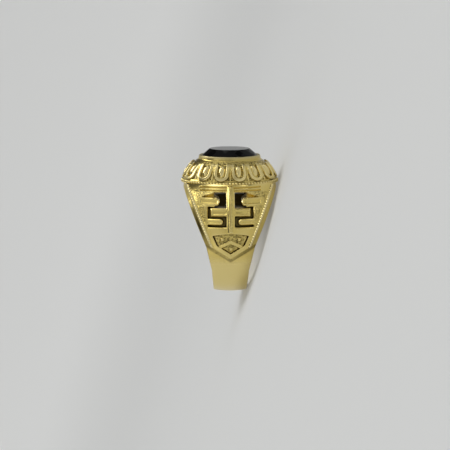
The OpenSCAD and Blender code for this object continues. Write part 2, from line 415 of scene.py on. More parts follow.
class Bench:
    """Modelling moves that the ring's pieces share. Every solid stands, in millimetres."""

    @staticmethod
    def clear() -> None:
        """Leaves nothing selected."""
        if bpy.context.object and bpy.context.object.mode != "OBJECT":
            bpy.ops.object.mode_set(mode="OBJECT")
        bpy.ops.object.select_all(action="DESELECT")

    @staticmethod
    def take(piece: bpy.types.Object) -> bpy.types.Object:
        """Selects one piece alone and makes it the active one.

        Args:
            piece: The piece.

        Returns:
            The same piece.
        """
        Bench.clear()
        piece.select_set(True)
        bpy.context.view_layer.objects.active = piece
        return piece

    @staticmethod
    def fresh(name: str) -> bpy.types.Object:
        """Names the primitive just added and puts its place into its mesh.

        Args:
            name: The new piece's name.

        Returns:
            The named piece, at nought.
        """
        piece = bpy.context.object
        piece.name = name
        Bench.take(piece)
        bpy.ops.object.transform_apply(location=True, rotation=True, scale=True)
        return piece

    @staticmethod
    def box(name: str, low: Point3, high: Point3) -> bpy.types.Object:
        """Adds a box.

        Args:
            name: The new piece's name.
            low: Its corner nearest the lower end of each axis.
            high: Its opposite corner.

        Returns:
            The box.
        """
        Bench.clear()
        middle = [(a + b) / 2 for a, b in zip(low, high)]
        bpy.ops.mesh.primitive_cube_add(size=1, location=middle)
        bpy.context.object.scale = [b - a for a, b in zip(low, high)]
        return Bench.fresh(name)

    @staticmethod
    def chain(name: str, points: list[Point3], closed: bool) -> bpy.types.Object:
        """Draws a line of edges by extruding one vertex from point to point.

        Args:
            name: The new piece's name.
            points: The points, in order.
            closed: Whether the line's ends are joined and the outline filled.

        Returns:
            The drawn line or face, still selected in edit mode.
        """
        Bench.clear()
        bpy.ops.mesh.primitive_plane_add(size=1, location=(0, 0, 0))
        piece = bpy.context.object
        piece.name = name
        bpy.ops.object.mode_set(mode="EDIT")
        bpy.ops.mesh.merge(type="CENTER")
        bpy.ops.transform.translate(value=points[0])
        for here, there in zip(points, points[1:]):
            step = [b - a for a, b in zip(here, there)]
            bpy.ops.mesh.extrude_vertices_move(TRANSFORM_OT_translate={"value": step})
        bpy.ops.mesh.select_all(action="SELECT")
        if closed:
            bpy.ops.mesh.edge_face_add()
        return piece

    @staticmethod
    def turned(name: str, section: list[Point2], axis: Axis, steps: int) -> bpy.types.Object:
        """Turns a section about an axis, as on a lathe.

        Args:
            name: The new piece's name.
            section: Distances from the axis and places along it, from one end on the axis to the other.
            axis: The axis to turn about.
            steps: Steps in the full turn.

        Returns:
            The closed solid.
        """
        if axis is Axis.FINGER:
            points = [(along, 0.0, out) for out, along in section]
        else:
            points = [(out, 0.0, along) for out, along in section]
        piece = Bench.chain(name, points, closed=False)
        bpy.ops.mesh.spin(steps=steps, angle=math.tau, center=(0, 0, 0), axis=axis.value)
        bpy.ops.mesh.select_all(action="SELECT")
        bpy.ops.mesh.remove_doubles(threshold=WELD)
        bpy.ops.mesh.normals_make_consistent(inside=False)
        bpy.ops.object.mode_set(mode="OBJECT")
        return piece

    @staticmethod
    def prism(name: str, outline: list[Point2], low_y: float, high_y: float) -> bpy.types.Object:
        """Extrudes an outline, drawn as seen from a shoulder.

        Args:
            name: The new piece's name.
            outline: Places along the finger and heights.
            low_y: Depth at which the prism starts.
            high_y: Depth at which it ends.

        Returns:
            The closed prism.
        """
        points = [(x, low_y, z) for x, z in outline]
        piece = Bench.chain(name, points, closed=True)
        bpy.ops.mesh.extrude_region_move(TRANSFORM_OT_translate={"value": (0, high_y - low_y, 0)})
        bpy.ops.mesh.select_all(action="SELECT")
        bpy.ops.mesh.normals_make_consistent(inside=False)
        bpy.ops.object.mode_set(mode="OBJECT")
        return piece

    @staticmethod
    def finish(piece: bpy.types.Object, kind: str, **settings: object) -> bpy.types.Object:
        """Adds a modifier and applies it.

        Args:
            piece: The piece.
            kind: The modifier's type.
            settings: The modifier's settings.

        Returns:
            The same piece.
        """
        Bench.take(piece)
        bpy.ops.object.modifier_add(type=kind)
        modifier = piece.modifiers[-1]
        for key, value in settings.items():
            setattr(modifier, key, value)
        bpy.ops.object.modifier_apply(modifier=modifier.name)
        return piece

    @staticmethod
    def combine(piece: bpy.types.Object, other: bpy.types.Object, how: Cut) -> bpy.types.Object:
        """Joins a solid to another, cuts it away or keeps what both share.

        Args:
            piece: The solid that stays.
            other: The other solid, which is used up.
            how: How they are combined.

        Returns:
            The solid that stays.
        """
        Bench.finish(piece, "BOOLEAN", operation=how.value, object=other, solver="MANIFOLD")
        bpy.data.objects.remove(other)
        return piece

    @staticmethod
    def twin(piece: bpy.types.Object, name: str) -> bpy.types.Object:
        """Copies a piece with a mesh of its own.

        Args:
            piece: The piece.
            name: The copy's name.

        Returns:
            The copy, selected and active.
        """
        Bench.take(piece)
        bpy.ops.object.duplicate()
        copy = bpy.context.object
        copy.name = name
        return copy

    @staticmethod
    def shifted(piece: bpy.types.Object, step: Point3) -> bpy.types.Object:
        """Moves a piece's mesh.

        Args:
            piece: The piece.
            step: How far it goes along each axis.

        Returns:
            The same piece.
        """
        Bench.take(piece)
        piece.location = step
        bpy.ops.object.transform_apply(location=True, rotation=False, scale=False)
        return piece

    @staticmethod
    def copies(piece: bpy.types.Object, steps: list[Point3]) -> list[bpy.types.Object]:
        """Sets copies of a piece at several places and uses up the piece.

        Args:
            piece: The piece, made at nought.
            steps: How far each copy goes along each axis.

        Returns:
            The copies.
        """
        made = [Bench.shifted(Bench.twin(piece, f"{piece.name}_{k}"), step) for k, step in enumerate(steps)]
        bpy.data.objects.remove(piece)
        return made

    @staticmethod
    def mirrored(piece: bpy.types.Object, way: Point3) -> bpy.types.Object:
        """Adds a piece's mirror image to it.

        Args:
            piece: The piece.
            way: Direction square to the mirror, which stands at nought.

        Returns:
            Both, as one object.
        """
        copy = Bench.twin(piece, piece.name + "_mirrored")
        copy.scale = [1.0 - 2.0 * abs(w) for w in way]
        bpy.ops.object.transform_apply(location=False, rotation=False, scale=True)
        bpy.ops.object.mode_set(mode="EDIT")
        bpy.ops.mesh.select_all(action="SELECT")
        bpy.ops.mesh.normals_make_consistent(inside=False)
        bpy.ops.object.mode_set(mode="OBJECT")
        return Bench.fused([piece, copy])

    @staticmethod
    def fused(pieces: list[bpy.types.Object]) -> bpy.types.Object:
        """Makes one object of several, each keeping its own closed surface.

        Args:
            pieces: The objects.

        Returns:
            The first one, which holds them all.
        """
        Bench.take(pieces[0])
        for piece in pieces[1:]:
            piece.select_set(True)
        if len(pieces) > 1:
            bpy.ops.object.join()
        return pieces[0]

    @staticmethod
    def cast(piece: bpy.types.Object, grain: float, smoothing: int, triangles: int) -> bpy.types.Object:
        """Casts overlapping solids into one skin with softened edges.

        Args:
            piece: The solids, in one object.
            grain: Size of the grid that the skin is drawn on.
            smoothing: Passes that soften the edges.
            triangles: How many triangles the skin may keep.

        Returns:
            The cast piece.
        """
        Bench.finish(piece, "REMESH", mode="VOXEL", voxel_size=grain)
        Bench.finish(piece, "SMOOTH", factor=HALFWAY, iterations=smoothing)
        found = sum(len(p.vertices) - 2 for p in piece.data.polygons)
        if found > triangles:
            Bench.finish(piece, "DECIMATE", ratio=triangles / found, use_collapse_triangulate=True)
        Bench.take(piece)
        bpy.ops.object.shade_smooth()
        LOG.info("%s: %d triangles before thinning, %d after", piece.name, found, len(piece.data.polygons))
        return piece

    @staticmethod
    def places(piece: bpy.types.Object) -> np.ndarray:
        """Places of a mesh's vertices.

        Args:
            piece: The piece.

        Returns:
            A row of three coordinates for each vertex.
        """
        found = np.empty(len(piece.data.vertices) * 3)
        piece.data.vertices.foreach_get("co", found)
        return found.reshape(-1, 3)

    @staticmethod
    def mark(piece: bpy.types.Object, name: str, values: np.ndarray) -> None:
        """Stores a value for each vertex, held between 0 and 1, as an attribute of the mesh."""
        layer = piece.data.attributes.new(name, "FLOAT", "POINT")
        layer.data.foreach_set("value", np.clip(values, 0, 1))

    @staticmethod
    def hollows(piece: bpy.types.Object, reach: int, depth: float) -> np.ndarray:
        """How hollow each vertex lies, from how far it rises when the skin is smoothed flat.

        Args:
            piece: The cast piece.
            reach: Passes of smoothing.
            depth: Rise in millimetres that counts as fully hollow.

        Returns:
            The hollowness of each vertex, below nought on edges.
        """
        before = Bench.places(piece)
        normals = np.empty(before.size)
        piece.data.vertices.foreach_get("normal", normals)
        flat = Bench.twin(piece, piece.name + "_flat")
        Bench.finish(flat, "SMOOTH", factor=HALFWAY, iterations=reach)
        rise = ((Bench.places(flat) - before) * normals.reshape(-1, 3)).sum(axis=1)
        bpy.data.objects.remove(flat)
        return rise / depth


@dataclass(frozen=True)
class Panel:
    """Driving sizes of the band and its raised shoulder panels, in millimetres."""

    bottom_t: float = 1.4
    shank_w: float = 5.8
    shank_r: float = 10.8
    dome_r: float = 16.0
    panel_r: float = 11.4
    rise: float = 0.9
    body_top_z: float = 9.85
    slope_d: float = 0.45
    side_fall: float = 0.65
    foot_fall: float = 0.9
    half_l: float = 8.75
    waist: Point2 = (3.3, -5.2)
    tip: Point2 = (0.0, -3.5)
    corner: Point2 = (4.3, -0.75)
    top: Point2 = (8.3, 8.9)

    def dome(self, x: float) -> float:
        """Drop of the domed surface at a distance from the middle."""
        return self.dome_r - math.sqrt(self.dome_r**2 - x**2)

    def depth(self, spot: Point2) -> float:
        """Distance of the panel's surface from the middle plane, at a place seen from a shoulder."""
        return math.sqrt((self.panel_r - self.dome(spot[0])) ** 2 - (spot[1] - self.rise) ** 2)

    def edge_x(self, z: float) -> float:
        """Half width of the panel at a height."""
        lean = (self.top[0] - self.corner[0]) / (self.top[1] - self.corner[1])
        return self.corner[0] + (z - self.corner[1]) * lean


@dataclass(frozen=True)
class Fret:
    """Sizes of the fret, rims and shield on a panel, in millimetres, and heights over the hole's axis."""

    stem_half: float = 0.75
    stem_proud: float = 0.2
    stem_foot_z: float = 1.9
    stem_root: float = 0.6
    stem_steps: int = 16
    stem_room: float = 2.0
    stem_top_gap: float = 0.3
    window_half: float = 2.8
    window_top_z: float = 8.55
    facet_half: float = 5.5
    tab_end: float = 1.9
    tab_z: Point2 = (6.43, 7.76)
    cross_half: float = 3.53
    cross_z: Point2 = (4.66, 6.04)
    channel_half: float = 3.99
    channel_z: Point2 = (4.28, 6.23)
    low_tab_end: float = 1.31
    low_tab_z: Point2 = (3.23, 4.24)
    low_groove_z: float = 2.85
    shield_top_z: float = 1.65
    shield_arch_r: float = 15.0
    shield_arch_steps: int = 12
    shield_top_half: float = 3.18
    shield_side_half: float = 2.4
    shield_side_z: float = -0.4
    shield_tip_z: float = -1.95
    end_steps: int = 16
    overlap: float = 0.1
    channel_d: float = 0.8
    shield_d: float = 0.3
    shield_line_d: float = 0.46
    shield_middle_z: float = 0.2
    shield_inner: float = 0.925
    lip_w: float = 0.14
    lip_d: float = 0.14
    dish_border: float = 0.36
    dish_end: float = 5.3
    dish_d: float = 0.14
    rim_w: float = 0.45
    rim_proud: float = 0.08
    rim_beads: int = 26
    rim_bead_r: float = 0.22
    rim_bead_rise: float = 0.1
    rim_z: Point2 = (-0.9, 9.5)
    strip_low_z: float = 1.5
    strip_top_z: float = 8.7
    strip_tab_x: float = 5.9
    line_half: float = 5.4
    line_w: float = 0.2
    line_d: float = 0.18
    lines_z: tuple[float, ...] = (8.78, 9.25)
    pellet_r: float = 0.36
    pellet_sink: float = 0.12
    pellets: tuple[Point2, ...] = ((-1.5, 0.7), (1.5, 0.7), (0.0, -1.05))
    figure_depths: Point2 = (1 / 3, 2.0)
    chevron_top_z: float = 0.55
    chevron_half: float = 2.05
    chevron_drop: float = 0.95
    chevron_w: float = 0.65


@dataclass(frozen=True)
class WearAndShading:
    """How much patina, painted shade, polish, painted highlight and punching the band's parts get, as shares,
    and where, in millimetres.
    """

    reach: int = 60
    depth: float = 0.25
    cut_depths: Point2 = (0.25, 0.6)
    deep_depths: Point2 = (1.0, 1.4)
    # Painted shade deep in the pierced windows.
    window_shade: float = 2.0
    # Patina and painted shade in the engraved channels.
    channel_patina_shade: float = 0.62
    # Painted highlight on the sunk facets beside the windows.
    facet_highlight: float = 0.9
    # Painted shade on the slopes under a panel's pointed foot.
    foot_shade: float = 0.5
    # Painted shade on the shield's ground and in the groove round it.
    shield_shade: float = 0.27
    shield_line_shade: float = 0.4
    foot_top: float = 0.5
    satin_fade: Point2 = (1.0, -0.5)
    edge_start: float = 0.1
    # Pale edges: polish from rubbing and painted highlight.
    edge_polish_highlight: float = 1.3
    # Painted highlight along the side rims.
    rim_highlight: float = 0.6
    shield_share: float = 0.7
    stem_share: float = 0.8
    stem_lift: float = 0.05
    strip_fade: float = 0.3
    strip_gap: float = 0.1
    strip_full: float = 0.5
    strip_punch: float = 0.8
    shield_punch: float = 0.7
    stem_punch: float = 0.35
    soft: float = 0.15


@dataclass(frozen=True)
class Spots:
    """Where the cast band's vertices lie, a number for each in every field.

    aside is the distance from the middle of the band and height that over the finger hole's axis.
    hole_r is the distance from that axis, and below the depth under the panels' surface. margin
    runs inwards from a panel's side edge along X, and foot inwards from its pointed foot.
    """

    aside: np.ndarray
    height: np.ndarray
    hole_r: np.ndarray
    below: np.ndarray
    margin: np.ndarray
    foot: np.ndarray


def ramp(values: np.ndarray, low: float, high: float) -> np.ndarray:
    """Straight rise of values from 0 at low to 1 at high, or a fall where high is below low."""
    return np.clip((values - low) / (high - low), 0, 1)


def arc(centre: Point2, radius: float, start: float, end: float, steps: int) -> list[Point2]:
    """Points along an arc between two turns in degrees, one more than its steps."""
    turns = [math.radians(start + (end - start) * k / steps) for k in range(steps + 1)]
    return [(centre[0] + radius * math.cos(t), centre[1] + radius * math.sin(t)) for t in turns]


@dataclass
class Band:
    """The cast shank and shoulders, up to where the head hides them."""

    place: LyingPlace
    panel: Panel = field(default_factory=Panel)
    fret: Fret = field(default_factory=Fret)
    wear_and_shading: WearAndShading = field(default_factory=WearAndShading)
    steps: int = 288
    dome_steps: int = 32
    grain: float = 0.06
    smoothing: int = 14
    triangles: int = 190_000
    far: float = 20.0
    spare: float = 1.0
    cone_tail: float = 2.0

    @property
    def bottom_z(self) -> float:
        """Height of the shank's lowest point."""
        return -self.place.hole_r - self.panel.bottom_t

    def barrel(self, name: str, radius: float, rise: float) -> bpy.types.Object:
        """Turns a domed barrel about the finger's axis.

        Args:
            name: The new piece's name.
            radius: Radius at the barrel's middle.
            rise: Height of the barrel's axis above the finger hole's.

        Returns:
            The solid barrel.
        """
        half, count = self.panel.half_l, self.dome_steps
        spots = [half * (2 * k / count - 1) for k in range(count + 1)]
        section = [(0.0, -half)] + [(radius - self.panel.dome(x), x) for x in spots] + [(0.0, half)]
        piece = Bench.turned(name, section, Axis.FINGER, self.steps)
        return Bench.shifted(piece, (0, 0, rise))

    def slope(self, start: Point2, end: Point2, fall: float, side: int) -> bpy.types.Object:
        """Cone that slopes off everything outside one of the panel's edges, on both shoulders.

        Args:
            start: Lower end of the edge, seen from a shoulder.
            end: Upper end of the edge.
            fall: Fall of the slope for each millimetre outwards.
            side: 1 for the edge on the finger's tip side, -1 for its mirror image.

        Returns:
            The cone that holds what stays.
        """
        p = self.panel
        run = Vector((end[0] - start[0], end[1] - start[1]))
        up = (run.length**2 + p.depth(end) ** 2 - p.depth(start) ** 2) / 2 / run.length
        edge_r = math.hypot(up, p.depth(start)) - p.slope_d
        spot = Vector(start) + run.normalized() * up
        lean = math.atan2(run[0], run[1])
        out = Vector((side * math.cos(lean), 0.0, -math.sin(lean)))
        Bench.clear()
        bpy.ops.mesh.primitive_cone_add(
            vertices=self.steps,
            radius1=edge_r + self.far * fall,
            radius2=edge_r - self.cone_tail * fall,
            depth=self.far + self.cone_tail,
            location=Vector((side * spot[0], 0.0, spot[1])) - out * (self.far - self.cone_tail) / 2,
            rotation=out.to_track_quat("Z", "Y").to_euler(),
        )
        return Bench.fresh("slope")

    def panels(self) -> bpy.types.Object:
        """Raised panels of both shoulders, with the slopes round them.

        Returns:
            Both panels, as one solid.
        """
        p = self.panel
        piece = self.barrel("band", p.panel_r, p.rise)
        low, high = (-self.far, -self.far, p.tip[1] - self.spare), (self.far, self.far, p.body_top_z)
        Bench.combine(piece, Bench.box("panel_room", low, high), Cut.KEEP_SHARED)
        edges = (
            (p.corner, p.top, p.side_fall),
            (p.tip, p.corner, p.foot_fall),
        )
        for side in (1, -1):
            for start, end, fall in edges:
                Bench.combine(piece, self.slope(start, end, fall, side), Cut.KEEP_SHARED)
        return piece

    def side_outline(self) -> list[Point2]:
        """Outline of shank and shoulders, seen from a shoulder.

        Returns:
            The outline.
        """
        p = self.panel
        half = [
            (p.shank_w / 2, self.bottom_z - self.spare),
            (p.shank_w / 2, self.bottom_z + p.dome(p.shank_w / 2)),
            p.waist,
            p.corner,
            p.top,
            (p.top[0], p.body_top_z + self.spare),
        ]
        return half + [(-x, z) for x, z in reversed(half)]

    def both(self, name: str, outline: list[Point2]) -> bpy.types.Object:
        """Cutter for an outline on one side of the stem and its mirror image, through both shoulders."""
        piece = Bench.prism(name, outline, -self.far, self.far)
        return Bench.mirrored(piece, Axis.FINGER.value)

    def window_outline(self, lip: float) -> list[Point2]:
        """Pierced part of the fret beside the stem, round the tab's end.

        Args:
            lip: How much the outline is widened.

        Returns:
            The outline.
        """
        f = self.fret
        r = (f.tab_z[1] - f.tab_z[0]) / 2
        tab_end = arc((f.tab_end + r, f.tab_z[0] + r), r - lip, 270, 90, f.end_steps)
        return [
            (f.stem_half, f.cross_z[1] - lip),
            (f.window_half + lip, f.cross_z[1] - lip),
            (f.window_half + lip, f.tab_z[0] + lip),
            *tab_end,
            (f.window_half + lip, f.tab_z[1] - lip),
            (f.window_half + lip, f.window_top_z + lip),
            (f.stem_half, f.window_top_z + lip),
        ]

    def channel_outline(self, lip: float) -> list[Point2]:
        """Engraved part of the fret: round the crossbar's end and the lower tab.

        Args:
            lip: How much the outline is widened.

        Returns:
            The outline.
        """
        f = self.fret
        r = (f.low_tab_z[1] - f.low_tab_z[0]) / 2
        tab_end = arc((f.low_tab_end + r, f.low_tab_z[0] + r), r - lip, 270, 90, f.end_steps)
        return [
            (f.stem_half, f.low_groove_z - lip),
            (f.channel_half + lip, f.low_groove_z - lip),
            (f.channel_half + lip, f.low_tab_z[0] + lip),
            *tab_end,
            (f.low_tab_end + r, f.channel_z[0] - lip),
            (f.channel_half + lip, f.channel_z[0] - lip),
            (f.channel_half + lip, f.channel_z[1] + lip),
            (f.window_half - f.overlap, f.channel_z[1] + lip),
            (f.window_half - f.overlap, f.cross_z[1] - lip),
            (f.cross_half - lip, f.cross_z[1] - lip),
            (f.cross_half - lip, f.cross_z[0] + lip),
            (f.stem_half, f.cross_z[0] + lip),
        ]

    def facet_outline(self) -> list[Point2]:
        """Three-cornered facet that runs out from a window's upper corner.

        Returns:
            The facet's outline.
        """
        f = self.fret
        inner = f.window_half - f.overlap
        return [(inner, f.tab_z[1]), (f.facet_half, f.tab_z[1]), (inner, f.window_top_z)]

    def dishes(self) -> list[list[Point2]]:
        """Shallow dished middles of the crossbar's arm, the tab and the lower tab.

        Returns:
            An outline for each.
        """
        f, b = self.fret, self.fret.dish_border
        spans = (
            (f.stem_half, f.cross_half - b, f.cross_z),
            (f.tab_end + b, f.dish_end, f.tab_z),
            (f.low_tab_end + b, f.channel_half, f.low_tab_z),
        )
        return [
            [(near, low + b), (far, low + b), (far, high - b), (near, high - b)]
            for near, far, (low, high) in spans
        ]

    def margins(self) -> Point2:
        """Distances along X from the panel's edge to the rim's outer and inner line.

        Returns:
            Both distances.
        """
        p, f = self.panel, self.fret
        run = (p.top[0] - p.corner[0], p.top[1] - p.corner[1])
        outer = p.slope_d / p.side_fall
        return outer * math.hypot(*run) / run[1], (outer + f.rim_w) * math.hypot(*run) / run[1]

    def rims(self) -> bpy.types.Object:
        """Raised rims along the sides of both panels.

        Returns:
            The rims, as one object.
        """
        p, f = self.panel, self.fret
        outer, inner = self.margins()
        low, high = f.rim_z
        outline = [
            (p.edge_x(low) - outer, low),
            (p.edge_x(high) - outer, high),
            (p.edge_x(high) - inner, high),
            (p.edge_x(low) - inner, low),
        ]
        piece = self.both("rims", outline)
        return Bench.combine(piece, self.barrel("top", p.panel_r + f.rim_proud, p.rise), Cut.KEEP_SHARED)

    def rim_beads(self) -> bpy.types.Object:
        """Fine beads along the rims of both panels.

        Returns:
            The beads, as one object.
        """
        p, f = self.panel, self.fret
        middle = sum(self.margins()) / 2
        start, end = (math.asin((z - p.rise) / p.panel_r) for z in f.rim_z)
        spots = []
        for k in range(f.rim_beads):
            z = p.rise + p.panel_r * math.sin(start + (end - start) * (k + HALFWAY) / f.rim_beads)
            x = p.edge_x(z) - middle
            y = p.depth((x, z)) + f.rim_bead_rise
            spots += [(x, y, z), (x, -y, z), (-x, y, z), (-x, -y, z)]
        Bench.clear()
        bpy.ops.mesh.primitive_uv_sphere_add(segments=12, ring_count=8, radius=f.rim_bead_r)
        return Bench.fused(Bench.copies(Bench.fresh("rim_bead"), spots))

    def shield_outline(self) -> list[Point2]:
        """Outline of the shield, with its slightly arched top.

        Returns:
            The outline.
        """
        f = self.fret
        count = f.shield_arch_steps
        spots = [f.shield_top_half * (1 - 2 * k / count) for k in range(count + 1)]
        arch = [(x, f.shield_top_z - f.shield_arch_r + math.sqrt(f.shield_arch_r**2 - x**2)) for x in spots]
        sides = [(-f.shield_side_half, f.shield_side_z), (0.0, f.shield_tip_z)]
        return arch + sides + [(f.shield_side_half, f.shield_side_z)]

    def engrave(self, piece: bpy.types.Object, cutter: bpy.types.Object, core: bpy.types.Object) -> None:
        """Cuts a drawing into both shoulders of the band, down to the core that it may not reach."""
        Bench.combine(cutter, core, Cut.REMOVE)
        Bench.combine(piece, cutter, Cut.REMOVE)

    def cut_fret(self, piece: bpy.types.Object) -> None:
        """Pierces the windows and engraves the channels, facets, dishes, lines and the shield.

        Args:
            piece: The band.
        """
        p, f = self.panel, self.fret
        for outline in (self.window_outline(f.lip_w), self.channel_outline(f.lip_w)):
            self.engrave(piece, self.both("lip", outline), self.barrel("core", p.panel_r - f.lip_d, p.rise))
        Bench.combine(piece, self.both("windows", self.window_outline(0.0)), Cut.REMOVE)
        channels = self.both("channels", self.channel_outline(0.0))
        self.engrave(piece, channels, self.barrel("core", p.panel_r - f.channel_d, p.rise))
        floor = self.roller("floor", p.panel_r - p.dome(f.facet_half), p.rise)
        self.engrave(piece, self.both("facets", self.facet_outline()), floor)
        for outline in self.dishes():
            self.engrave(piece, self.both("dish", outline), self.barrel("core", p.panel_r - f.dish_d, p.rise))
        for z in f.lines_z:
            line = Bench.box("line", (-f.line_half, -self.far, z), (f.line_half, self.far, z + f.line_w))
            self.engrave(piece, line, self.barrel("core", p.panel_r - f.line_d, p.rise))
        outline = self.shield_outline()
        line = Bench.prism("shield_line", outline, -self.far, self.far)
        middle = f.shield_middle_z
        within = [(x * f.shield_inner, middle + (z - middle) * f.shield_inner) for x, z in outline]
        Bench.combine(line, Bench.prism("within", within, -self.far, self.far), Cut.REMOVE)
        self.engrave(piece, line, self.barrel("core", p.panel_r - f.shield_line_d, p.rise))
        shield = Bench.prism("shield", outline, -self.far, self.far)
        self.engrave(piece, shield, self.barrel("core", p.panel_r - f.shield_d, p.rise))

    def stems(self) -> bpy.types.Object:
        """Half-round stems down the middle of both panels.

        Returns:
            The stems, as one object.
        """
        p, f = self.panel, self.fret
        middle = p.panel_r + f.stem_proud - f.stem_half
        root = middle - f.stem_root
        bow = arc((0.0, middle), f.stem_half, 180, 0, f.stem_steps)
        section = [(-f.stem_half, root), *bow, (f.stem_half, root)]
        ring = Bench.chain("stems", [(x, 0.0, z) for x, z in section], closed=True)
        bpy.ops.mesh.delete(type="ONLY_FACE")
        bpy.ops.mesh.select_all(action="SELECT")
        bpy.ops.mesh.spin(steps=self.steps, angle=math.tau, center=(0, 0, 0), axis=Axis.FINGER.value)
        bpy.ops.mesh.select_all(action="SELECT")
        bpy.ops.mesh.remove_doubles(threshold=WELD)
        bpy.ops.mesh.normals_make_consistent(inside=False)
        bpy.ops.object.mode_set(mode="OBJECT")
        Bench.shifted(ring, (0, 0, p.rise))
        low = (-f.stem_room, -self.far, f.stem_foot_z)
        high = (f.stem_room, self.far, p.body_top_z - f.stem_top_gap)
        room = Bench.box("stem_room", low, high)
        return Bench.combine(ring, room, Cut.KEEP_SHARED)

    def shield_figure(self) -> list[bpy.types.Object]:
        """Plain chevron between three pellets, standing on the shield's ground.

        Returns:
            The chevron and the pellets.
        """
        p, f = self.panel, self.fret
        low = f.chevron_top_z - f.chevron_drop
        outline = [
            (0.0, f.chevron_top_z - f.chevron_w),
            (f.chevron_half, low - f.chevron_w),
            (f.chevron_half, low),
            (0.0, f.chevron_top_z),
            (-f.chevron_half, low),
            (-f.chevron_half, low - f.chevron_w),
        ]
        chevron = Bench.prism("chevron", outline, -self.far, self.far)
        top_r, root_r = (p.panel_r - share * f.shield_d for share in f.figure_depths)
        Bench.combine(chevron, self.barrel("top", top_r, p.rise), Cut.KEEP_SHARED)
        Bench.combine(chevron, self.barrel("core", root_r, p.rise), Cut.REMOVE)
        spots = []
        for x, z in f.pellets:
            reach = math.sqrt((p.panel_r - f.shield_d) ** 2 - (z - p.rise) ** 2) - f.pellet_sink
            spots += [(x, -reach, z), (x, reach, z)]
        Bench.clear()
        bpy.ops.mesh.primitive_uv_sphere_add(segments=24, ring_count=12, radius=f.pellet_r)
        return [chevron, *Bench.copies(Bench.fresh("pellet"), spots)]

    def roller(self, name: str, radius: float, rise: float) -> bpy.types.Object:
        """Adds a straight cylinder along the finger's axis.

        Args:
            name: The new piece's name.
            radius: Its radius.
            rise: Height of its axis above the finger hole's.

        Returns:
            The cylinder.
        """
        Bench.clear()
        bpy.ops.mesh.primitive_cylinder_add(
            vertices=self.steps,
            radius=radius,
            depth=2 * self.far,
            location=(0, 0, rise),
            rotation=(0, math.pi / 2, 0),
        )
        return Bench.fresh(name)

    def build(self) -> bpy.types.Object:
        """Models the band and casts it into one skin.

        Returns:
            The band, standing.
        """
        p = self.panel
        piece = self.panels()
        shank = self.barrel("shank", p.shank_r, p.shank_r + self.bottom_z)
        low = (-self.far, -self.far, self.bottom_z - self.spare)
        high = (self.far, self.far, p.corner[1] + self.spare)
        Bench.combine(shank, Bench.box("shank_room", low, high), Cut.KEEP_SHARED)
        Bench.combine(piece, shank, Cut.JOIN)
        sides = Bench.prism("sides", self.side_outline(), -self.far, self.far)
        Bench.combine(piece, sides, Cut.KEEP_SHARED)
        Bench.combine(piece, self.rims(), Cut.JOIN)
        self.cut_fret(piece)
        Bench.combine(piece, self.stems(), Cut.JOIN)
        for figure in self.shield_figure():
            Bench.combine(piece, figure, Cut.JOIN)
        Bench.combine(piece, self.roller("hole", self.place.hole_r, 0.0), Cut.REMOVE)
        piece = Bench.fused([piece, self.rim_beads()])
        Bench.cast(piece, self.grain, self.smoothing, self.triangles)
        self.finish_marks(piece)
        return piece

    def locate(self, piece: bpy.types.Object) -> Spots:
        """Measures where the cast band's vertices lie.

        Args:
            piece: The cast band.

        Returns:
            The vertices' places.
        """
        p = self.panel
        places = Bench.places(piece)
        aside, out, height = np.abs(places[:, 0]), np.abs(places[:, 1]), places[:, 2]
        run = Vector((p.corner[0] - p.tip[0], p.corner[1] - p.tip[1]))
        return Spots(
            aside=aside,
            height=height,
            hole_r=np.hypot(out, height),
            below=p.panel_r - p.dome_r + np.sqrt(p.dome_r**2 - aside**2) - np.hypot(out, height - p.rise),
            margin=p.edge_x(height) - aside,
            foot=((height - p.tip[1]) * run[0] - aside * run[1]) / run.length,
        )

    def foot_slope(self, at: Spots) -> np.ndarray:
        """Share of each vertex that lies on the slopes under a panel's pointed foot.

        Args:
            at: The vertices' places.

        Returns:
            The share, fading at the slopes' edges.
        """
        p, w = self.panel, self.wear_and_shading
        width = p.slope_d / p.foot_fall
        raised = ramp(at.foot, -w.soft, 0) * ramp(at.margin, -w.soft, 0)
        return raised * ramp(at.foot, width + w.soft, width) * (at.height < p.corner[1] + w.foot_top)

    def facet_floor(self, at: Spots) -> np.ndarray:
        """Share of each vertex that lies on the facets beside the windows.

        Args:
            at: The vertices' places.

        Returns:
            The share, fading up the facets' walls.
        """
        f, w = self.fret, self.wear_and_shading
        inner = self.margins()[1]
        facet = (at.height > f.tab_z[1]) & (at.height < f.window_top_z) & (at.margin > inner)
        facet &= (at.aside > f.window_half) & (at.aside < f.facet_half + w.soft)
        return facet * ramp(at.below, *w.cut_depths)

    def on_shield(self, at: Spots) -> np.ndarray:
        """Which vertices lie on the shield's ground, as true or false.

        Args:
            at: The vertices' places.

        Returns:
            True for each that does.
        """
        f, w = self.fret, self.wear_and_shading
        ground = (at.below > w.shield_share * f.shield_d) & (at.margin > self.margins()[1])
        inside = (at.aside < f.shield_top_half) & (at.height < f.shield_top_z) & (at.height > f.shield_tip_z)
        return ground & inside

    def sunk_patina_shade(self, at: Spots) -> np.ndarray:
        """Patina and painted shade in the channels, painted shade in the windows and on the shield, over what
        lies in every hollow.

        Args:
            at: The vertices' places.

        Returns:
            The dirt at each vertex.
        """
        f, w = self.fret, self.wear_and_shading
        pierced = (at.aside < f.window_half - w.soft) & (at.height < f.window_top_z + w.soft)
        fretted = (at.aside < f.channel_half + w.soft) & (at.height > f.low_groove_z - w.soft)
        fretted &= (at.height < f.tab_z[1]) | pierced
        # Patina and painted shade in the channels.
        shade_and_patina = fretted * np.minimum(ramp(at.below, *w.cut_depths), w.channel_patina_shade)
        # Painted shade deep in the windows.
        shade_and_patina += w.window_shade * fretted * ramp(at.below, *w.deep_depths)
        # Painted shade in the shield's outline groove.
        line = w.shield_line_shade * ramp(at.below, f.shield_d, f.shield_line_d)
        return shade_and_patina + self.on_shield(at) * (w.shield_shade + line)

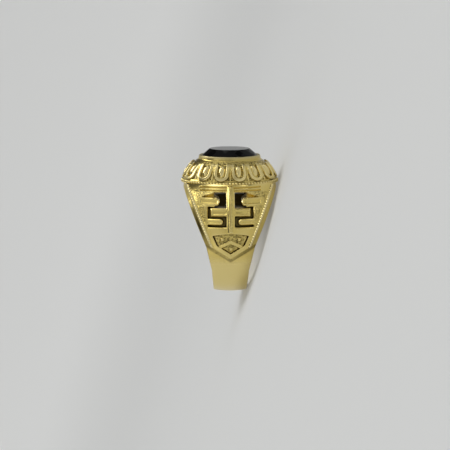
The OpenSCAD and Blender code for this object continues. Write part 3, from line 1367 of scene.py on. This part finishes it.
    def punched(self, at: Spots) -> np.ndarray:
        """How deeply the strips beside the fret, the shield's ground and the stems are punched.

        Args:
            at: The vertices' places.

        Returns:
            The share at each vertex.
        """
        f, w = self.fret, self.wear_and_shading
        inner = self.margins()[1]
        stem = (at.aside < w.stem_share * f.stem_half) & (at.height > f.stem_foot_z + w.soft)
        stem &= at.below < -w.stem_lift
        strip = ramp(at.margin, inner, inner + w.strip_fade)
        strip *= ramp(at.aside, f.channel_half + w.strip_gap, f.channel_half + w.strip_full)
        strip *= ramp(at.height, f.strip_low_z, f.strip_low_z + w.strip_full) * (at.height < f.strip_top_z)
        strip[(at.aside < f.strip_tab_x) & (at.height > f.tab_z[0]) & (at.height < f.tab_z[1])] = 0
        return w.strip_punch * strip + w.shield_punch * self.on_shield(at) + w.stem_punch * stem

    def finish_marks(self, piece: bpy.types.Object) -> None:
        """Marks patina and painted shade, pale edges from polish and painted highlight, satin and punching on
        the gold.

        Args:
            piece: The cast band.
        """
        p, f, w = self.panel, self.fret, self.wear_and_shading
        at = self.locate(piece)
        outer, inner = self.margins()
        rim = (at.margin > outer) & (at.margin < inner) & (at.height > f.rim_z[0]) & (at.height < f.rim_z[1])
        in_hole = at.hole_r < self.place.hole_r + w.soft
        foot_slope, facet_floor = self.foot_slope(at), self.facet_floor(at)
        hollows = Bench.hollows(piece, w.reach, w.depth)
        # Patina and painted shade in the hollows, with painted shade on the foot's slopes.
        shade_and_patina = np.maximum(hollows + self.sunk_patina_shade(at), w.foot_shade * foot_slope)
        # Pale edges from polish and painted highlight, with painted highlight on the rims and the facets.
        polish_and_highlight = (-w.edge_polish_highlight * hollows - w.edge_start + w.rim_highlight * rim) * (1 - foot_slope)
        polish_and_highlight = np.maximum(polish_and_highlight, w.facet_highlight * facet_floor)
        satin = ramp(at.height, p.tip[1] + w.satin_fade[0], p.tip[1] + w.satin_fade[1])
        Bench.mark(piece, "inside", in_hole.astype(float))
        Bench.mark(piece, "hollow", np.where(in_hole, 0, shade_and_patina))
        Bench.mark(piece, "polish_and_highlight", np.where(in_hole, 0, polish_and_highlight))
        # The facets also take the paler satin colour, as part of their painted highlight.
        Bench.mark(piece, "satin", np.maximum(satin, facet_floor))
        Bench.mark(piece, "punched", self.punched(at))


@dataclass
class Head:
    """The oval head: girdle, frieze with its ornament, and the bezel that holds the stone."""

    place: LyingPlace
    ratio: float = 0.8
    half_l: float = 8.78
    girdle_z: float = 9.55
    girdle_h: float = 0.4
    ledge: Point2 = (0.1, 0.15)
    relief: float = 0.42
    frieze_r: float = 7.5
    frieze_steps: int = 24
    foot: Point2 = (8.7, 10.2)
    crest: Point2 = (5.9, 13.95)
    bezel_z: float = 14.3
    bezel_r: float = 5.5
    bezel_edge: float = 0.08
    bezel_foot: Point2 = (0.1, 0.2)
    lip: Point2 = (4.94, 14.25)
    groove_r: float = 5.06
    groove_z: Point2 = (13.9, 14.18)
    seat: Point2 = (0.4, 11.75)
    underside: Point2 = (7.2, 9.45)
    lead_in: Point2 = (7.65, 8.75)
    ornament_turn: float = 33.0
    trim_turn: float = 80.0
    trim_steps: int = 48
    eggs: int = 14
    egg_half: Point3 = (0.52, 0.6, 1.15)
    egg_at: Point3 = (-0.1, 0.0, 0.3)
    stroke: float = 0.29
    shell_r: float = 1.02
    shell_rise: float = 0.14
    shell_z: Point2 = (-0.4, 1.7)
    dart_r: Point2 = (0.12, 0.42)
    dart_l: float = 2.9
    bead_r: float = 0.24
    bead_lift: float = 0.06
    beads: int = 84
    cavity_reach: int = 80
    cavity_depth: float = 0.14
    edge_start: float = 0.1
    # Pale edges: polish from rubbing and painted highlight.
    edge_polish_highlight: float = 1.3
    # Painted shade over the whole bezel.
    bezel_shade: float = 0.42
    # Darker on the beaded border under the frieze.
    border_darkening: float = 0.35
    # Painted shadow in the crease under the bezel.
    crease_shadow: float = 0.36
    crease_z: Point2 = (12.6, 12.9)
    ground_punch: float = 0.9
    ground_reach: float = 0.08
    grain: float = 0.055
    smoothing: int = 3
    triangles: int = 190_000
    steps: int = 320

    def centre(self) -> Point2:
        """Centre of the frieze's rounded section.

        Returns:
            Its distance from the head's axis and its height.
        """
        run = (self.crest[0] - self.foot[0], self.crest[1] - self.foot[1])
        length = math.hypot(*run)
        back = math.sqrt(self.frieze_r**2 - (length / 2) ** 2) / length
        middle = ((self.crest[0] + self.foot[0]) / 2, (self.crest[1] + self.foot[1]) / 2)
        return (middle[0] - back * run[1], middle[1] + back * run[0])

    def angle(self, spot: Point2) -> float:
        """Angle in degrees at which a point of the section lies, seen from the frieze's centre."""
        c = self.centre()
        return math.degrees(math.atan2(spot[1] - c[1], spot[0] - c[0]))

    def section(self) -> list[Point2]:
        """Section of the head, from its hidden underside round to the bottom of the seat.

        Returns:
            Distances from the head's axis and heights.
        """
        ground_r = self.frieze_r - self.relief
        c = self.centre()
        foot_z = self.girdle_z + self.girdle_h + self.relief
        low = math.degrees(math.asin((foot_z - c[1]) / ground_r))
        ground = arc(c, ground_r, low, self.angle(self.crest), self.frieze_steps)
        return [
            (0, self.underside[1]),
            self.underside,
            self.lead_in,
            (self.half_l, self.girdle_z),
            (self.half_l, self.girdle_z + self.ledge[0]),
            (self.half_l - self.bead_r, self.girdle_z + self.ledge[1]),
            (self.half_l - self.bead_r, self.girdle_z + self.girdle_h),
            (self.half_l - self.relief, foot_z),
            *ground,
            (self.bezel_r + self.bezel_foot[0], self.crest[1] - self.bezel_foot[1]),
            (self.bezel_r, self.bezel_z - self.bezel_edge),
            (self.bezel_r - self.bezel_edge, self.bezel_z),
            (self.lip[0], self.bezel_z),
            self.lip,
            (self.groove_r, self.groove_z[1]),
            (self.groove_r, self.groove_z[0]),
            self.seat,
            (0, self.seat[1]),
        ]

    def even_turn(self, share: float) -> float:
        """Turn, at a share of the way round, that spaces things evenly on the squeezed oval."""
        turn = math.tau * share
        return turn + (1 - self.ratio) / (1 + self.ratio) / 2 * math.sin(2 * turn)

    def egg(self) -> bpy.types.Object:
        """One egg in its open shell, standing on the ground of the frieze.

        Returns:
            Egg and shell, as one object.
        """
        low, high = self.shell_z
        Bench.clear()
        bpy.ops.mesh.primitive_uv_sphere_add(segments=32, ring_count=20, location=self.egg_at)
        bpy.context.object.scale = self.egg_half
        egg = Bench.fresh("egg")
        bpy.ops.mesh.primitive_torus_add(
            major_segments=48,
            minor_segments=16,
            major_radius=self.shell_r,
            minor_radius=self.stroke,
            location=(self.shell_rise, 0, low),
            rotation=(0, math.pi / 2, 0),
        )
        shell = Bench.fresh("shell")
        bpy.ops.object.mode_set(mode="EDIT")
        bpy.ops.mesh.select_all(action="SELECT")
        bpy.ops.mesh.bisect(plane_co=(0, 0, low), plane_no=(0, 0, 1), clear_outer=True, use_fill=True)
        bpy.ops.object.mode_set(mode="OBJECT")
        Bench.clear()
        bpy.ops.mesh.primitive_cylinder_add(vertices=16, radius=self.stroke, depth=high - low)
        spots = [(self.shell_rise, side * self.shell_r, (low + high) / 2) for side in (-1, 1)]
        return Bench.fused([egg, shell, *Bench.copies(Bench.fresh("shell_arm"), spots)])

    def dart(self) -> bpy.types.Object:
        """Dart between two shells: a tapering bar with a sharp ridge.

        Returns:
            The dart, made at nought.
        """
        Bench.clear()
        low, high = self.dart_r
        bpy.ops.mesh.primitive_cone_add(vertices=4, radius1=low, radius2=high, depth=self.dart_l)
        return Bench.fresh("dart")

    def bead(self) -> bpy.types.Object:
        """Bead of the border under the frieze.

        Returns:
            The bead, in its place at the head's end.
        """
        Bench.clear()
        spot = (self.half_l - self.bead_r, 0, self.girdle_z + self.bead_lift + self.bead_r)
        bpy.ops.mesh.primitive_uv_sphere_add(segments=16, ring_count=10, radius=self.bead_r, location=spot)
        return Bench.fresh("bead")

    def trimmed(self, piece: bpy.types.Object) -> bpy.types.Object:
        """Leans an ornament on the frieze and trims it to the frieze's outer curve.

        Args:
            piece: The ornament, made at nought.

        Returns:
            The ornament in its place at the head's end.
        """
        c = self.centre()
        middle = math.radians(self.ornament_turn)
        ground_r = self.frieze_r - self.relief
        spot = Vector((c[0] + ground_r * math.cos(middle), 0, c[1] + ground_r * math.sin(middle)))
        piece.data.transform(Matrix.Translation(spot) @ Matrix.Rotation(-middle, 4, "Y"))
        outer = arc(c, self.frieze_r, 0, self.trim_turn, self.trim_steps)
        room = Bench.turned("room", [(0, c[1]), *outer, (0, outer[-1][1])], Axis.UP, self.steps)
        return Bench.combine(piece, room, Cut.KEEP_SHARED)

    def set_round(self, piece: bpy.types.Object, count: int, offset: float) -> bpy.types.Object:
        """Repeats an ornament round the head and uses up the first one.

        Args:
            piece: The ornament, in its place at the head's end.
            count: How many there are.
            offset: Share of a step by which the first is turned.

        Returns:
            All of them, as one object.
        """
        copies = []
        for k in range(count):
            turn = self.even_turn((k + offset) / count)
            widen = 1 / math.hypot(math.sin(turn), self.ratio * math.cos(turn))
            copy = Bench.twin(piece, f"{piece.name}_{k}")
            copy.matrix_world = Matrix.Rotation(turn, 4, "Z") @ Matrix.Diagonal((1, widen, 1, 1))
            bpy.ops.object.transform_apply(location=True, rotation=True, scale=True)
            copies.append(copy)
        bpy.data.objects.remove(piece)
        return Bench.fused(copies)

    def build(self) -> bpy.types.Object:
        """Models the head round, squeezes it to the oval and casts it into one skin.

        Returns:
            The head, standing.
        """
        parts = [
            Bench.turned("head", self.section(), Axis.UP, self.steps),
            self.set_round(self.trimmed(self.egg()), self.eggs, 0.0),
            self.set_round(self.trimmed(self.dart()), self.eggs, 0.5),
            self.set_round(self.bead(), self.beads, 0.0),
        ]
        piece = Bench.fused(parts)
        Bench.take(piece)
        piece.scale = (1, self.ratio, 1)
        bpy.ops.object.transform_apply(location=False, rotation=False, scale=True)
        Bench.cast(piece, self.grain, self.smoothing, self.triangles)
        self.finish_marks(piece)
        return piece

    def finish_marks(self, piece: bpy.types.Object) -> None:
        """Marks patina and painted shade, pale edges from polish and painted highlight, satin and punching on
        the gold.

        Args:
            piece: The cast head.
        """
        c = self.centre()
        spots = Bench.places(piece)
        out, height = np.hypot(spots[:, 0], spots[:, 1] / self.ratio), spots[:, 2]
        ground = np.hypot(out - c[0], height - c[1]) < self.frieze_r - self.relief + self.ground_reach
        ground &= (height > self.girdle_z + self.girdle_h) & (out > self.crest[0])
        bezel = height > self.crest[1]
        border = height < self.girdle_z + self.girdle_h + self.relief
        hollows = Bench.hollows(piece, self.cavity_reach, self.cavity_depth)
        crease = self.crease_shadow * ramp(height, *self.crease_z)
        # Patina and painted shade in the hollows, darker on the beaded border, painted shadow in the crease
        # under the bezel.
        shade_and_patina = np.maximum(hollows + self.border_darkening * border, crease)
        # The bezel gets painted shade all over.
        Bench.mark(piece, "hollow", np.where(bezel, self.bezel_shade, shade_and_patina))
        # Pale edges: polish from rubbing and painted highlight.
        Bench.mark(piece, "polish_and_highlight", -self.edge_polish_highlight * hollows - self.edge_start)
        Bench.mark(piece, "satin", bezel.astype(float))
        Bench.mark(piece, "punched", self.ground_punch * ground)


@dataclass
class Stone:
    """The cut black stone: table, crown and pavilion in planar facets."""

    half_l: float = 5.0
    ratio: float = 0.8
    girdle_z: float = 14.22
    edge: float = 0.15
    crown: float = 1.2
    table: float = 0.72
    pavilion: float = 2.1
    facets: int = 16
    break_share: float = 0.55
    culet: float = 0.01
    rounding: float = 0.02
    flat_angle: float = 0.5
    sharp_angle: float = 0.05
    smooth_angle: float = 4.0

    def build(self) -> bpy.types.Object:
        """Sets rings of points at the facets' corners and closes them with the tightest skin.

        Returns:
            The stone, standing.
        """
        step = math.pi / self.facets
        crown_break = (1 - (1 - self.table) * self.break_share) / math.cos(step)
        pavilion_break = (1 - self.break_share) / math.cos(step)
        rings = [
            (self.table, self.crown, 0.0),
            (crown_break, self.crown * self.break_share, step),
            (1.0, 0.0, 0.0),
            (1.0, -self.edge, 0.0),
            (pavilion_break, -self.edge - self.pavilion * self.break_share, step),
            (self.culet, -self.edge - self.pavilion, 0.0),
        ]
        pieces = []
        for share, height, turn in rings:
            Bench.clear()
            bpy.ops.mesh.primitive_circle_add(
                vertices=self.facets,
                radius=share * self.half_l,
                location=(0, 0, self.girdle_z + height),
                rotation=(0, 0, turn),
            )
            pieces.append(Bench.fresh("onyx"))
        piece = Bench.fused(pieces)
        Bench.take(piece)
        piece.scale = (1, self.ratio, 1)
        bpy.ops.object.transform_apply(location=False, rotation=False, scale=True)
        bpy.ops.object.mode_set(mode="EDIT")
        bpy.ops.mesh.select_all(action="SELECT")
        bpy.ops.mesh.convex_hull()
        bpy.ops.mesh.select_all(action="SELECT")
        bpy.ops.mesh.dissolve_limited(angle_limit=math.radians(self.flat_angle))
        bpy.ops.object.mode_set(mode="OBJECT")
        edges = {"limit_method": "ANGLE", "angle_limit": self.sharp_angle}
        Bench.finish(piece, "BEVEL", width=self.rounding, segments=2, **edges)
        Bench.take(piece)
        bpy.ops.object.shade_smooth_by_angle(angle=math.radians(self.smooth_angle))
        return piece


@dataclass(frozen=True)
class Glow:
    """A soft bright patch of the room: its direction from the standing ring, spread and strength."""

    way: Point3
    inner: float
    outer: float
    strength: float


@dataclass
class Studio:
    """Pale floor and sweep, soft lights and the camera at the photo's angle to the ring."""

    place: LyingPlace
    scale: float = 5.51
    distance: float = 300.0
    elevation: float = 10.0
    azimuth: float = 1.0
    hole_at: Point2 = (229.6, 232.6)
    base: float = 0.26
    tint: Point3 = (1.0, 1.0, 0.99)
    glows: tuple[Glow, ...] = (
        Glow((0.0, 0.0, 1.0), 20, 70, 0.12),
        Glow((0.0, -0.25, -1.0), 35, 75, 0.36),
        Glow((-0.3, -0.6, 0.74), 12, 45, 0.2),
        Glow((-0.35, -0.25, 0.9), 3, 8, 1.6),
        Glow((0.25, -0.5, 0.83), 3, 8, 1.3),
        Glow((-0.2, 0.15, 0.97), 4, 12, 2.0),
        Glow((0.35, 0.05, 0.93), 4, 11, 1.5),
        Glow((-0.66, -0.7, 0.3), 4, 10, 1.2),
        Glow((-0.4, -0.9, -0.1), 8, 35, 0.35),
        Glow((-0.85, -0.35, -0.4), 12, 34, -0.12),
        Glow((-0.9, -0.3, 0.1), 10, 32, -0.12),
        Glow((0.1, -0.3, -0.95), 4, 10, 0.8),
    )
    key_way: Point3 = (-0.7, 0.1, 0.5)
    key_power: float = 1.35
    key_angle: float = 40.0
    sweep_r: float = 0.42
    sweep_y: Point2 = (-1.4, 0.62)
    sweep_half: float = 1.6
    sweep_high: float = 1.8
    sweep_steps: int = 24
    clip: Point2 = (0.01, 20.0)

    def camera(self) -> None:
        """Sets the camera where the photo's stands to the ring, turned with the ring."""
        up, round_z = math.radians(self.elevation), math.radians(self.azimuth)
        way = Vector((-math.sin(round_z) * math.cos(up), -math.cos(up) * math.cos(round_z), math.sin(up)))
        spot = self.place.point(tuple(way * self.distance))
        look = -self.place.direction(tuple(way))
        right = look.cross(self.place.direction((0, 0, 1))).normalized()
        true_up = right.cross(look)
        lens = bpy.data.cameras.new("camera")
        lens.sensor_width = SENSOR_MM
        lens.lens = SENSOR_MM * self.distance / (PHOTO_SIDE / self.scale)
        lens.shift_x = (PHOTO_SIDE / 2 - self.hole_at[0]) / PHOTO_SIDE
        lens.shift_y = (self.hole_at[1] - PHOTO_SIDE / 2) / PHOTO_SIDE
        lens.clip_start, lens.clip_end = self.clip
        camera = bpy.data.objects.new("camera", lens)
        camera.matrix_world = Matrix.Translation(spot) @ Matrix((right, true_up, -look)).transposed().to_4x4()
        bpy.context.scene.collection.objects.link(camera)
        bpy.context.scene.camera = camera

    def sweep(self) -> bpy.types.Object:
        """Floor that curves up into a wall behind the ring.

        Returns:
            The sweep.
        """
        front, back = self.sweep_y
        bend = arc((back - self.sweep_r, self.sweep_r), self.sweep_r, -90, 0, self.sweep_steps)
        section = [(0.0, y, z) for y, z in [(front, 0.0), *bend, (back, self.sweep_high)]]
        piece = Bench.chain("sweep", section, closed=False)
        bpy.ops.transform.translate(value=(-self.sweep_half, 0, 0))
        bpy.ops.mesh.extrude_region_move(TRANSFORM_OT_translate={"value": (2 * self.sweep_half, 0, 0)})
        bpy.ops.object.mode_set(mode="OBJECT")
        Bench.take(piece)
        bpy.ops.object.shade_smooth()
        return piece

    def room(self) -> None:
        """Lights the scene from all round, with the photo's bright and dim sides as seen from the ring."""
        world = bpy.data.worlds.new("room")
        world.use_nodes = True
        bpy.context.scene.world = world
        graph = Graph(world.node_tree)
        way = graph.node("ShaderNodeTexCoord", {}, {}).outputs["Generated"]
        total: Value = self.base
        for glow in self.glows:
            aim = self.place.direction(glow.way)
            share = graph.along(way, aim)
            edge, core = math.cos(math.radians(glow.outer)), math.cos(math.radians(glow.inner))
            total = total + graph.rise(share, edge, core) * glow.strength
        background = world.node_tree.nodes["Background"]
        background.inputs["Color"].default_value = (*self.tint, 1)
        graph.feed(background.inputs["Strength"], total)

    def key(self) -> None:
        """Adds the soft key light that throws the shadow."""
        lamp = bpy.data.lights.new("key", "SUN")
        lamp.energy, lamp.angle = self.key_power, math.radians(self.key_angle)
        lamp_object = bpy.data.objects.new("key", lamp)
        look = -self.place.direction(self.key_way)
        lamp_object.matrix_world = look.to_track_quat("-Z", "Y").to_matrix().to_4x4()
        bpy.context.scene.collection.objects.link(lamp_object)

    def build(self) -> bpy.types.Object:
        """Sets camera, lights and sweep.

        Returns:
            The sweep.
        """
        self.camera()
        bpy.context.scene.view_settings.view_transform = "Standard"
        self.room()
        self.key()
        return self.sweep()


def lay(piece: bpy.types.Object, place: LyingPlace) -> bpy.types.Object:
    """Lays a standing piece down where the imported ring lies, with its place in its mesh.

    Args:
        piece: The finished piece, standing.
        place: Where the ring lies.

    Returns:
        The same piece.
    """
    piece.data.transform(place.standing_to_lying)
    piece.data.update()
    return piece


def main() -> None:
    """Builds the ring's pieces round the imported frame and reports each."""
    logging.basicConfig(level=logging.INFO, format="%(message)s")
    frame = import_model()
    place = LyingPlace.from_record(frame["record"])
    studio = Studio(place)
    sweep = studio.build()
    sweep.data.materials.append(PaperFinish().make())
    gold = GoldFinish().make(place)
    black = StoneFinish().make()
    for maker, node, slot, finish in (
        (Band(place), "gold_ring", "gold", gold),
        (Head(place), "gold_ring", "gold", gold),
        (Stone(), "onyx_stone", "onyx", black),
    ):
        piece = lay(maker.build(), place)
        piece.data.materials.clear()
        piece.data.materials.append(finish)
        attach(piece, "root")
        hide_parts(node)
        LOG.info("%s stands for %s", piece.name, node)


if __name__ == "__main__":
    main()
